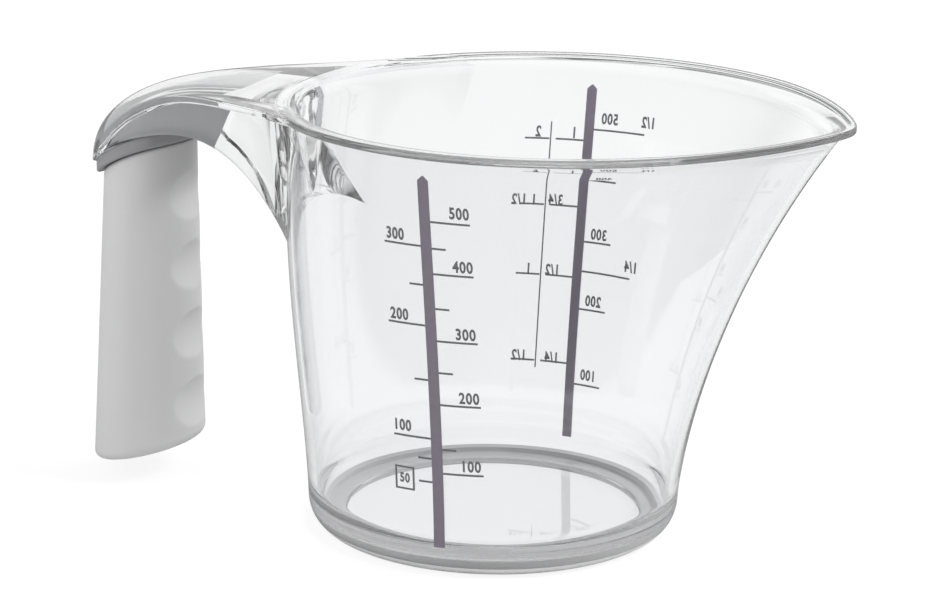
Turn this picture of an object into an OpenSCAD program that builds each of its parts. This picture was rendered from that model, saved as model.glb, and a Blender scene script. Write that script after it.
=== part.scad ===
// Clear measuring jug with a soft grip, in millimetres.
// +Z is up, +X points to the spout, -X to the handle.
// The origin lies on the table, under the centre of the round base.

/* [Bowl] */
// Height from the table to the top of the rim
jug_h = 98.5; // [94:0.5:104]
// Radius of the outer wall just above the rounded base corner
base_r = 42.5; // [40:0.5:45]
// Radius of the outer wall under the rim, away from the spout
rim_r = 54.3; // [52.5:0.1:56.5]
// Distance from the centre of the base to the centre of the rim
rim_shift = 9; // [7.5:0.1:10.5]
// Thickness of the wall
wall_t = 2; // [1.6:0.1:2.4]
// Thickness of the floor
floor_t = 2.2; // [2:0.1:3]

/* [Spout] */
// How far the spout reaches past the round rim
spout_reach = 15; // [10:0.5:18]
// Angle over which the spout fades into the round rim
spout_spread = 30.5; // [24:0.5:36]

/* [Rim] */
// Height of the outer face of the rim
lip_h = 1.7; // [1.5:0.1:2.2]
// Overhang of the rim at the spout and at the handle
lip_end_out = 2.5; // [2:0.1:3.2]
// Overhang of the rim at both sides
lip_side_out = 6; // [5:0.1:7]

/* [Handle] */
// Distance from the rim to the middle of the hood
arm_len = 34.2; // [32:0.1:40]
// Half the width of the hood
hood_half_w = 17.2; // [16.4:0.1:19]
// Height of the middle of the foot of the grip over the table
grip_foot_z = 5.8; // [4:0.1:12]
// Half the width of the grip at its foot
grip_foot_half_w = 14.9; // [14:0.1:17]
// Depth of the four finger hollows
finger_depth = 2; // [1:0.1:2.5]

/* [Foot] */
// Height of the soft ring under the base
foot_h = 2.3; // [2:0.1:2.5]
// Width of the face that the soft ring stands on
foot_w = 3.6; // [2.8:0.1:6]

/* [Scales] */
// Width of the upright bar of each scale
bar_w = 2.4; // [1.6:0.1:3]
// Width of a scale line
line_w = 0.4; // [0.3:0.1:0.8]
// Length of a long scale line
long_line = 8.5; // [6:0.5:9]
// Length of a short scale line
short_line = 3; // [2:0.1:4]

/* [Hidden] */

// Clearance between neighbouring pieces, and how far a cut runs past what it cuts
fit_gap = 0.15;
overrun = 2;

// Points around the bowl, around the grip and across the crown of the hood
around_n = 80;
grip_n = 36;
crown_n = 10;

// Bowl wall: height and width of the base corner, and the powers of its curves
corner_h = 6.6;
corner_in = 4.9;
flare_power = 1.33;
shift_power = 3.16;
spout_blunt = 4;
slope_step = 1;
floor_under_z = 1.2;
floor_round = 7.5;
floor_z = floor_under_z + floor_t;
foot_in_r = base_r - corner_in - foot_w;

// Tongue of the soft ring, which sits in a groove of the base corner
tongue_in = 4.3;
tongue_out = 2.5;
tongue_in_r = base_r - tongue_in;
tongue_out_r = base_r - tongue_out;
tongue_z = 4.1;
groove_z = tongue_z + fit_gap;

// Rim: fillet under it, rounded corners, top face and the flare below the face
under_z = jug_h - lip_h;
lip_fillet = 1.2;
lip_corner = 0.5;
lip_top_corner = 0.3;
lip_blunt = 0.15;
lip_spout_share = 0.3;
face_end_w = 2.8;
face_side_more = 1.6;
face_drop = 0.6;
face_z = jug_h - face_drop;
rim_flare_h = 3.2;
flare_z = face_z - rim_flare_h;

// Turns, in degrees, at which the rounded parts of the bowl get a ring of points
fillet_turns = [0, 45, 90];
flare_turns = [60, 30, 0];
floor_turns = [18, 36, 54, 72, 90];

// Wall levels between the base corner and the rim, as shares of that height
wall_shares = [0.06, 0.14, 0.24, 0.35, 0.46, 0.57, 0.68, 0.78, 0.87, 0.94];

// Arm and hood: where they join the rim, and their plan outline
root_angle = 127.8;
root_inset = 0.6;
hood_x = rim_r + lip_end_out - rim_shift + arm_len;
plan_power = 1.66;
hood_len = 18.1;
plate_t = lip_h;
plate_end_t = 0.3;
side_inset = 2;
side_low_more = 0.4;
side_power = 4;
low_width_share = 0.826;
low_root_more = 8.1;
low_root_run = 41;
low_power = 2.6;
arm_reach = 5;

// Arm and hood: heights of the edge, of the crown and of the underside
edge_fall_share = 0.045;
edge_lead = 22;
edge_fall = 22.6;
edge_power = 2.8;
crown_lead = 16;
crown_base_down = 21.5;
crown_rise = 21;
crown_over_end = 0.5;
under_lead = 9;
under_down = 12.9;
under_fall = 9.2;
under_fall_run = 25;
under_root_fall = 21.6;
under_root_short = 2.2;
under_root_run = arm_len - under_root_short;

// Head of the grip core inside the hood
head_end_gap = 2.5;
head_side_gap = 3.8;
head_top_gap = 2.2;
head_shoulder = 0.9;
head_back_lead = 18;
head_slant = 8;

// Collar and tang of the grip core
collar_t = 3.2;
collar_x = hood_x + 5.65;
collar_half_l = 11.65;
collar_half_w = 13.4;
collar_round = 0.8;
tang_x = hood_x + 5.5;
tang_r = 5;
tang_half_step = 3;
tang_foot_over = 8;

// Grip sleeve
grip_foot_x = hood_x + 6.5;
grip_foot_half_l = 12.9;
grip_top_x = hood_x + 5;
grip_top_half_l = 10.5;
grip_top_half_w = 12.2;
grip_foot_slope = 0.23;
grip_foot_round = 2.5;
grip_top_round = 1;
finger_n = 4;
finger_pitch = 16.8;
finger_h = 11.6;
finger_top_down = 29.6;

// Printed scales: where they stand on the wall and how thick the print is
bar_x = 3.7;
print_gap = 0.08;
print_t = 0.25;
bar_tip_h = 1;
bar_foot_share = 0.0725;
bar_head_share = 0.934;
bar_levels = 12;
line_steps = 3;
pint_line = 6.8;
cup_line = 5.8;
half_litre_line = 13;
litre_line = 7;
divider_off = 9.3;
divider_w = 0.3;
divider_foot_share = 0.24;
divider_head_share = 0.84;
divider_levels = 8;

// Heights of the scale lines as shares of the jug's height
gram_long_shares = [0.8335, 0.7157, 0.5614, 0.4122, 0.2497];
gram_short_shares = [0.7736, 0.636, 0.4873, 0.3066];
sugar_long_shares = [0.7766, 0.5949, 0.3299];
sugar_short_shares = [0.6883, 0.468, 0.2822, 0.2264];
half_litre_shares = [0.8264, 0.4883];
litre_shares = [0.7096, 0.5604, 0.3959, 0.2102];
pint_shares = [0.7985, 0.6426, 0.4711, 0.2579];

// Shape of the outer wall
function share_up(z) = max(0, (z - corner_h) / (under_z - corner_h));
function shift_at(z) = rim_shift * pow(share_up(z), shift_power);
function blunt(v, b) = sqrt(v * v + b * b) - b;
function turn(a) = abs(a > 180 ? a - 360 : a);
function spout_bell(a) = exp(-blunt(turn(a), spout_blunt) / spout_spread);
function wall_gain(a) = rim_r - base_r + spout_reach * spout_bell(a);
function wall_r(a, z) = base_r + wall_gain(a) * pow(share_up(z), flare_power);
function polar(shift, r, a, z) = [shift + r * cos(a), r * sin(a), z];
function wall_pt(a, z, out) = polar(shift_at(z), wall_r(a, z) + out, a, z);
function reach(a, z) = wall_r(a, z) + shift_at(z) * cos(a);
function slope(a, z) = (reach(a, z + slope_step) - reach(a, z - slope_step)) / (2 * slope_step);
function inner_pt(a, z) = wall_pt(a, z, -wall_t * sqrt(1 + pow(slope(a, z), 2)));
function corner_r(z) = base_r - corner_in * (1 - sqrt(1 - pow((corner_h - z) / corner_h, 2)));

// Shape of the rim
function side_share(a) = blunt(sin(a), lip_blunt) / blunt(1, lip_blunt);
function lip_more(a) = (lip_side_out - lip_end_out) * side_share(a) * (1 + lip_spout_share * cos(a));
function lip_r(a) = wall_r(a, under_z) + lip_end_out + lip_more(a);
function lip_pt(a, z, back) = polar(rim_shift, lip_r(a) - back, a, z);
function face_w(a) = face_end_w + face_side_more * pow(sin(a), 2);
function face_pt(a) = lip_pt(a, face_z, face_w(a));
function mix(p, q, s, t) = [p.x + (q.x - p.x) * s, p.y + (q.y - p.y) * s, p.z + (q.z - p.z) * t];
function flare_pt(a, t) = mix(inner_pt(a, flare_z), face_pt(a), 1 - cos(t), sin(t));

// Shape of the floor's rounded edge inside
round_z = floor_z + floor_round;
function floor_pt(a, t) = let (p = inner_pt(a, round_z))
  [p.x - floor_round * (1 - cos(t)) * cos(a), p.y - floor_round * (1 - cos(t)) * sin(a),
   round_z - floor_round * sin(t)];

around = [for (i = [0 : around_n - 1]) 360 * i / around_n];
function flat_ring(r, z) = [for (a = around) polar(0, r, a, z)];
function wall_ring(z, out) = [for (a = around) wall_pt(a, z, out)];
function lip_ring(z, back) = [for (a = around) lip_pt(a, z, back)];
function level(s) = corner_h + s * (under_z - corner_h);

rebate_z = foot_h + fit_gap;
corner_levels = [rebate_z, (rebate_z * 2 + corner_h) / 3, (rebate_z + corner_h * 2) / 3, corner_h];
inner_top = share_up(flare_z);
inner_low = share_up(round_z);
function inner_share(s) = inner_low + s * (inner_top - inner_low);

// Closed skin over a stack of rings, each ring with the same number of points
module skin(rings) {
  n = len(rings[0]);
  m = len(rings);
  pts = [for (ring = rings) for (p = ring) p];
  sides = [for (k = [0 : m - 2]) for (i = [0 : n - 1]) for (half = [0, 1])
    let (j = (i + 1) % n)
    half == 0 ? [k * n + i, (k + 1) * n + i, (k + 1) * n + j] : [k * n + i, (k + 1) * n + j, k * n + j]];
  low = [for (i = [0 : n - 1]) i];
  high = [for (i = [n - 1 : -1 : 0]) (m - 1) * n + i];
  polyhedron(points = pts, faces = concat(sides, [low, high]));
}

bowl_rings = concat(
  [flat_ring(foot_in_r - fit_gap, floor_under_z), flat_ring(foot_in_r - fit_gap, rebate_z)],
  [flat_ring(tongue_in_r - fit_gap, rebate_z), flat_ring(tongue_in_r - fit_gap, groove_z)],
  [flat_ring(tongue_out_r + fit_gap, groove_z), flat_ring(tongue_out_r + fit_gap, rebate_z)],
  [for (z = corner_levels) flat_ring(corner_r(z), z)],
  [for (s = wall_shares) wall_ring(level(s), 0)],
  [for (t = fillet_turns) wall_ring(under_z - lip_fillet * (1 - sin(t)), lip_fillet * (1 - cos(t)))],
  [lip_ring(under_z, lip_corner), lip_ring(under_z + lip_corner, 0)],
  [lip_ring(jug_h - lip_top_corner, 0), lip_ring(jug_h, lip_top_corner)],
  [[for (a = around) face_pt(a)]],
  [for (t = flare_turns) [for (a = around) flare_pt(a, t)]],
  [for (s = [0.88, 0.75, 0.62, 0.49, 0.36, 0.24, 0.12, 0]) [for (a = around) inner_pt(a, level(inner_share(s)))]],
  [for (t = floor_turns) [for (a = around) floor_pt(a, t)]]
);

// Everything the bowl and its rim fill, with the clearance, as one solid
module bowl_envelope() {
  rings = concat(
    [for (s = concat([0], wall_shares)) wall_ring(level(s), fit_gap)],
    [wall_ring(under_z - lip_fillet, fit_gap)],
    [wall_ring(under_z - lip_fillet / 2, fit_gap + lip_fillet / 4)],
    [wall_ring(under_z - fit_gap, fit_gap + lip_fillet)],
    [lip_ring(under_z - fit_gap, -fit_gap), lip_ring(jug_h + overrun, -fit_gap)]
  );
  skin(rings);
}

module jug_body() {
  color("lightcyan")
  skin(bowl_rings);
}

// Plan outline of the arm and hood
root_r = lip_r(root_angle) - root_inset;
root_x = rim_shift + root_r * cos(root_angle);
root_half_w = root_r * sin(root_angle);
hood_end = -hood_x - hood_len;
function past_hood(x) = max(0, x + hood_x);
function root_share(x) = min(1, past_hood(x) / (root_x + hood_x));
function end_share(x, half_l) = sqrt(max(0, 1 - pow(min(0, x + hood_x) / half_l, 2)));
function edge_w(x) = hood_half_w * end_share(x, hood_len)
  + (root_half_w - hood_half_w) * pow(root_share(x), plan_power);
function low_w(x) = hood_half_w * low_width_share * end_share(x, hood_len)
  + low_root_more * pow(past_hood(x) / low_root_run, low_power);
side_root_more = root_half_w - side_inset - low_w(root_x);
function side_upright(x) = low_w(x) + side_low_more * end_share(x, hood_len)
  + side_root_more * pow(root_share(x), side_power);
function side_w(x) = min(side_upright(x), edge_w(x) - side_inset * end_share(x, hood_len));

// Heights of the arm and hood
under_x = -hood_x + under_lead;
crown_x = -hood_x + crown_lead;
edge_x = -hood_x + edge_lead;
function under_at(x) = jug_h - under_down - (x < under_x
  ? under_fall * pow((under_x - x) / under_fall_run, 2)
  : under_root_fall * pow((x - under_x) / under_root_run, 2));
function edge_line(x) = jug_h - edge_fall_share * max(0, root_x - x)
  - edge_fall * pow(max(0, edge_x - x) / (edge_lead + hood_len), edge_power);
function edge_z(x) = max(edge_line(x), under_at(x) + 2 * plate_end_t);
crown_half_l = crown_lead + hood_len + crown_over_end;
crown_low = jug_h - crown_base_down;
lip_end_x = rim_shift - lip_r(180);
function crown_bow(x) = crown_low + crown_rise * sqrt(max(0, 1 - pow((crown_x - x) / crown_half_l, 2)));
function crown_run(x) = min(1, (x - crown_x) / (lip_end_x - crown_x));
function crown_z(x) = x < crown_x
  ? crown_bow(x)
  : crown_low + crown_rise + (crown_base_down - crown_rise) * crown_run(x);
function crown_power(x) = 0.5 + 0.5 * min(1, (x - hood_end) / hood_len);
function top_z(x, y) = edge_z(x)
  + (crown_z(x) - edge_z(x)) * pow(max(0, 1 - pow(y / edge_w(x), 2)), crown_power(x));

function plate_low(x) = edge_z(x) - min(plate_t, (edge_z(x) - under_at(x)) / 2);
function arm_loop(x) = concat(
  [[x, low_w(x), under_at(x)], [x, side_w(x), plate_low(x)], [x, edge_w(x), plate_low(x)]],
  [for (i = [0 : crown_n]) let (y = edge_w(x) * cos(180 * i / crown_n)) [x, y, top_z(x, y)]],
  [[x, -edge_w(x), plate_low(x)], [x, -side_w(x), plate_low(x)], [x, -low_w(x), under_at(x)]]
);
arm_xs = concat(
  [for (t = [10 : 10 : 90]) -hood_x - hood_len * cos(t)],
  [for (s = [1 : 18]) -hood_x + (root_x + arm_reach + hood_x) * s / 18]
);

// Head of the core: loops along X, grown by g, with the foot let down by d
head_half_l = hood_len - head_end_gap;
head_half_w = hood_half_w * low_width_share - head_side_gap;
head_back_x = -hood_x + head_back_lead;
function head_w(x, g) = head_half_w * end_share(x, head_half_l) + g;
function head_pt(x, y, z, s) = [x + head_slant * s * (z - under_at(x)) / (crown_z(x) - under_at(x)), y, z];
function head_top(x, y, g) = top_z(x, y) - head_top_gap + g;
function head_loop(x, g, d, s) = let (w = head_w(x, g)) concat(
  [head_pt(x, w, under_at(x) - d, s), head_pt(x, w, head_top(x, w, g) - head_shoulder, s)],
  [for (q = [0.85, 0.5, 0, -0.5, -0.85]) head_pt(x, w * q, head_top(x, w * q, g), s)],
  [head_pt(x, -w, head_top(x, w, g) - head_shoulder, s), head_pt(x, -w, under_at(x) - d, s)]
);
head_ts = [16, 28, 42, 56, 72, 90];
collar_end_x = -collar_x + collar_half_l;
function end_xs(g) = [for (t = head_ts) -hood_x - (head_half_l + g) * cos(t)];
back_shares = [0.34, 0.55, 0.75];
function back_xs() = [for (s = back_shares) -hood_x + head_back_lead * s];

module head(g, d) {
  rings = concat(
    [for (x = end_xs(g)) head_loop(x, g, d, 0)],
    [for (x = back_xs()) head_loop(x, g, max(d, 0), 0)],
    [head_loop(head_back_x + g, g, max(d, 0), 1)]
  );
  skin(rings);
}

module handle_bracket() {
  color("azure")
  difference() {
    skin([for (x = arm_xs) arm_loop(x)]);
    bowl_envelope();
    head(fit_gap, overrun);
  }
}

module foot_ring() {
  color("dimgray")
  rotate_extrude($fn = 96)
  polygon(concat(
    [[foot_in_r, 0]],
    [for (s = [0, 0.26, 0.6, 1]) [corner_r(foot_h * s), foot_h * s]],
    [[tongue_out_r, foot_h], [tongue_out_r, tongue_z], [tongue_in_r, tongue_z], [tongue_in_r, foot_h]],
    [[foot_in_r, foot_h]]
  ));
}

// A stack of oval rings whose foot and head follow two surfaces
grip_turns = [for (i = [0 : grip_n - 1]) 360 * i / grip_n];
function oval(cx, half_l, half_w, a, s) = [cx + half_l * s * cos(a), half_w * s * sin(a)];
function collar_low(x) = under_at(x) - fit_gap - collar_t;
function collar_ring(in, up) = [for (a = grip_turns)
  let (p = oval(-collar_x, collar_half_l - in, collar_half_w - in, a, 1))
  [p.x, p.y, collar_low(p.x) + up]];
function collar_flat(s, up) = [for (a = grip_turns)
  let (p = oval(-collar_x, collar_half_l - collar_round, collar_half_w - collar_round, a, s))
  [p.x, p.y, collar_low(p.x) + up]];

// Stadium bar of the tang, grown by g
module tang(g, z0, z1) {
  for (y = [-tang_half_step, tang_half_step])
    translate([-tang_x, y, z0])
    cylinder(h = z1 - z0, r = tang_r + g, $fn = 48);
  translate([-tang_x - tang_r - g, -tang_half_step, z0])
  cube([2 * (tang_r + g), 2 * tang_half_step, z1 - z0]);
}
tang_foot_z = grip_foot_z + tang_foot_over;

module grip_core() {
  color("slategray")
  union() {
    head(0, fit_gap + collar_t / 2);
    skin(concat(
      [for (s = [0.3, 0.65, 1]) collar_flat(s, 0)],
      [collar_ring(0, collar_round), collar_ring(0, collar_t - collar_round)],
      [for (s = [1, 0.65, 0.3]) collar_flat(s, collar_t)]
    ));
    tang(0, tang_foot_z, collar_low(-tang_x) + collar_t / 2);
  }
}

// Grip sleeve: ovals from the sloping foot up to the collar
grip_span = jug_h - under_down - collar_t - grip_foot_z;
function grip_low(x) = grip_foot_z + grip_foot_slope * (x + grip_foot_x);
function grip_high(x) = collar_low(x) - fit_gap;
function edge_in(d, r) = d < r ? r - sqrt(r * r - pow(r - d, 2)) : 0;
finger_r = (pow(finger_h / 2, 2) + pow(finger_depth, 2)) / (2 * finger_depth);
function finger_z(k) = jug_h - finger_top_down - finger_pitch * k;
function face_share(z) = (z - grip_foot_z) / grip_span;
function face_x(z) = -grip_foot_x + grip_foot_half_l
  + (grip_foot_x - grip_top_x + grip_top_half_l - grip_foot_half_l) * face_share(z);
function grip_pt(a, s, in) = let (
  half_l = grip_foot_half_l + (grip_top_half_l - grip_foot_half_l) * s - in,
  half_w = grip_foot_half_w + (grip_top_half_w - grip_foot_half_w) * s - in,
  cx = -grip_foot_x + (grip_foot_x - grip_top_x) * s,
  p = oval(cx, half_l, half_w, a, 1))
  [p.x, p.y, grip_low(p.x) + (grip_high(p.x) - grip_low(p.x)) * s];
function grip_ring(s, in) = [for (a = grip_turns) grip_pt(a, s, in)];
foot_steps = [0, 0.15, 0.5];
head_steps = [0.5, 0.15, 0];
grip_low_share = grip_foot_round / grip_span;
grip_high_share = 1 - grip_top_round / grip_span;

module grip_sleeve() {
  color("silver")
  difference() {
    skin(concat(
      [grip_ring(0, grip_foot_half_l / 2)],
      [for (q = foot_steps) grip_ring(grip_low_share * q, edge_in(grip_foot_round * q, grip_foot_round))],
      [grip_ring(grip_low_share, 0), grip_ring(grip_high_share, 0)],
      [for (q = head_steps) grip_ring(1 - (1 - grip_high_share) * q, edge_in(grip_top_round * q, grip_top_round))],
      [grip_ring(1, grip_top_half_l / 3), grip_ring(1, grip_top_half_l / 1.5)]
    ));
    for (k = [0 : finger_n - 1])
      translate([face_x(finger_z(k)) + finger_r - finger_depth, 0, finger_z(k)])
      rotate([90, 0, 0])
      cylinder(h = 2 * grip_foot_half_w, r = finger_r, center = true, $fn = 96);
    tang(fit_gap, tang_foot_z - fit_gap, jug_h);
  }
}

// Angle about the wall's centre at which the wall passes the given X, side -1 or 1
function side_angle(x, z) = acos((x - shift_at(z)) / wall_r(90, z));
function print_pt(x, z, out, side) = let (p = wall_pt(side_angle(x, z), z, out)) [p.x, side * p.y, z];

// Thin printed patch on the wall: loops along X from x0 to x1, and its mirror image for side -1
module print_patch(x0, x1, z0, z1, side, steps) {
  mirror([0, side < 0 ? 1 : 0, 0])
  skin([for (i = [0 : steps]) let (x = x0 + (x1 - x0) * i / steps) [
    print_pt(x, z0, print_gap, 1),
    print_pt(x, z0, print_gap + print_t, 1),
    print_pt(x, z1, print_gap + print_t, 1),
    print_pt(x, z1, print_gap, 1)
  ]]);
}

// Upright printed bar: loops up the wall, its head closing to a point when tip is above zero
function bar_loop(x, w, z) = [
  print_pt(x - w / 2, z, print_gap, 1),
  print_pt(x + w / 2, z, print_gap, 1),
  print_pt(x + w / 2, z, print_gap + print_t, 1),
  print_pt(x - w / 2, z, print_gap + print_t, 1)
];
module print_bar(x, w, z0, z1, tip, side, steps) {
  mirror([0, side < 0 ? 1 : 0, 0])
  skin(concat(
    [for (i = [0 : steps]) bar_loop(x, w, z0 + (z1 - tip - z0) * i / steps)],
    tip > 0 ? [bar_loop(x, w / 8, z1)] : []
  ));
}

module lines(shares, x0, length, side) {
  for (s = shares)
    print_patch(x0, x0 + length, s * jug_h - line_w / 2, s * jug_h + line_w / 2, side, line_steps);
}
module left_lines(shares, x1, length, side) {
  lines(shares, x1 - length, length, side);
}
bar_right = bar_x + bar_w / 2 + print_gap;
bar_left = bar_x - bar_w / 2 - print_gap;

module gram_scale_bar() {
  color("rosybrown")
  print_bar(bar_x, bar_w, bar_foot_share * jug_h, bar_head_share * jug_h, bar_tip_h, -1, bar_levels);
}

module gram_scale_lines() {
  color("dimgray")
  union() {
    lines(gram_long_shares, bar_right, long_line, -1);
    lines(gram_short_shares, bar_right, short_line, -1);
    left_lines(sugar_long_shares, bar_left, long_line, -1);
    left_lines(sugar_short_shares, bar_left, short_line, -1);
  }
}

module litre_scale_bar() {
  color("rosybrown")
  print_bar(bar_x, bar_w, bar_foot_share * jug_h, bar_head_share * jug_h, bar_tip_h, 1, bar_levels);
}

module litre_scale_lines() {
  color("dimgray")
  union() {
    lines(half_litre_shares, bar_right, half_litre_line, 1);
    lines(litre_shares, bar_right, litre_line, 1);
    left_lines(pint_shares, bar_left, pint_line, 1);
    left_lines(pint_shares, bar_x - divider_off - divider_w, cup_line, 1);
    print_bar(
      bar_x - divider_off, divider_w,
      divider_foot_share * jug_h, divider_head_share * jug_h,
      0, 1, divider_levels
    );
  }
}

jug_body();
handle_bracket();
foot_ring();
grip_core();
grip_sleeve();
gram_scale_bar();
gram_scale_lines();
litre_scale_bar();
litre_scale_lines();
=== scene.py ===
"""Looks of the clear measuring jug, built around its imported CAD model.

Lengths are in metres. +Z is up, +X points to the spout and -X to the handle.
"""

import math

import bmesh
import bpy
from mathutils import Matrix, Vector


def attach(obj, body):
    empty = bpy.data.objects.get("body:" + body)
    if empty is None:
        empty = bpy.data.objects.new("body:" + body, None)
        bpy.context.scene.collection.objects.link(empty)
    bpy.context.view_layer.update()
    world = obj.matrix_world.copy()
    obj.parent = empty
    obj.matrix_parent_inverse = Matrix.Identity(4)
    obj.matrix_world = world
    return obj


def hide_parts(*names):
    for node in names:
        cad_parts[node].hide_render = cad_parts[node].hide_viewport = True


bl_info = {
    "name": "Measuring Jug Looks",
    "version": (1, 0, 0),
    "blender": (4, 5, 0),
    "location": "View3D > Sidebar > Jug",
    "description": "Builds a clear measuring jug with a soft grip around its CAD frame",
    "category": "Add Mesh",
}

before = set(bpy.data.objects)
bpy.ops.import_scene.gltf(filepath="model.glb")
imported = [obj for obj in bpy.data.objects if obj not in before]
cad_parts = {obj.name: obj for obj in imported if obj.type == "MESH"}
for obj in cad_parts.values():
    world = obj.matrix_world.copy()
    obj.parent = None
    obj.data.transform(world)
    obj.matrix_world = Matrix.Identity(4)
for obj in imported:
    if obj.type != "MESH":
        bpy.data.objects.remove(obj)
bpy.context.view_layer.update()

MM = 0.001
MERGE = 1e-5
TINY = 1e-6
SHARP = math.radians(38)
SHARP_AFTER_CUT = math.radians(30)
SLEEVE_SHARP = math.radians(60)

# How far the camera is turned from the front, in radians
TURN = 0.35793


# Sizes and colours

def length(name, description, millimetres):
    """A length property whose default is given in millimetres."""
    return bpy.props.FloatProperty(
        name=name, description=description, default=millimetres * MM, unit="LENGTH", precision=4)


def number(name, description, value):
    return bpy.props.FloatProperty(name=name, description=description, default=value)


def colour(name, description, value):
    return bpy.props.FloatVectorProperty(
        name=name, description=description, default=value, subtype="COLOR", size=3, min=0.0, max=1.0)


class BowlSizes(bpy.types.PropertyGroup):
    """Sizes of the bowl, its spout and its rim."""
    height: length("Height", "From the table to the top of the rim", 98.5)
    base_r: length("Base radius", "Outer wall just above the rounded corner", 42.5)
    rim_r: length("Rim radius", "Outer wall under the rim, away from the spout", 54.3)
    rim_shift: length("Rim shift", "From the base's centre to the rim's centre", 9.0)
    wall: length("Wall", "Thickness of the wall", 2.0)
    floor: length("Floor", "Thickness of the floor", 2.2)
    spout_reach: length("Spout reach", "How far the spout passes the round rim", 15.0)
    spout_spread: number("Spout spread", "Degrees over which the spout fades away", 30.5)
    lip_h: length("Rim height", "Height of the rim's outer face", 1.7)
    lip_end: length("Rim overhang, ends", "Overhang at the spout and the handle", 2.5)
    lip_side: length("Rim overhang, sides", "Overhang at both sides", 6.0)


class HandleSizes(bpy.types.PropertyGroup):
    """Sizes of the arm, the hood, the grip and the foot ring."""
    arm_len: length("Arm", "From the rim to the middle of the hood", 34.2)
    hood_half_w: length("Hood", "Half the width of the hood", 17.2)
    grip_foot_z: length("Grip's foot", "Height of the grip's foot over the table", 5.8)
    finger_depth: length("Finger hollows", "Depth of the finger hollows", 2.0)
    foot_h: length("Foot ring", "Height of the soft ring", 2.3)
    foot_w: length("Foot face", "Width of the face that the ring stands on", 3.6)
    tongue_h: length("Ring's tongue", "Height of the tongue's top over the table", 4.1)


class Finishes(bpy.types.PropertyGroup):
    """Colours of the plastics, the soft parts and the print."""
    clear: colour("Clear plastic", "Tint of the clear plastic", (0.968, 0.972, 0.978))
    grip: colour("Grip", "Soft grip", (0.5, 0.5, 0.505))
    core: colour("Core", "Stiff core of the grip", (0.25, 0.25, 0.26))
    # The head's colour is the core's own grey painted lighter: painted light standing in for the light the
    # clear hood keeps from it.
    head: colour("Core head", "Stiff core where it sits in the clear hood", (0.6, 0.6, 0.61))
    foot: colour("Foot ring", "Soft ring under the base", (0.6, 0.6, 0.605))
    bar: colour("Bars", "Upright bars of the scales", (0.165, 0.148, 0.18))
    line: colour("Lines", "Scale lines and numbers", (0.12, 0.12, 0.125))


# Shape of the jug

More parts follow.
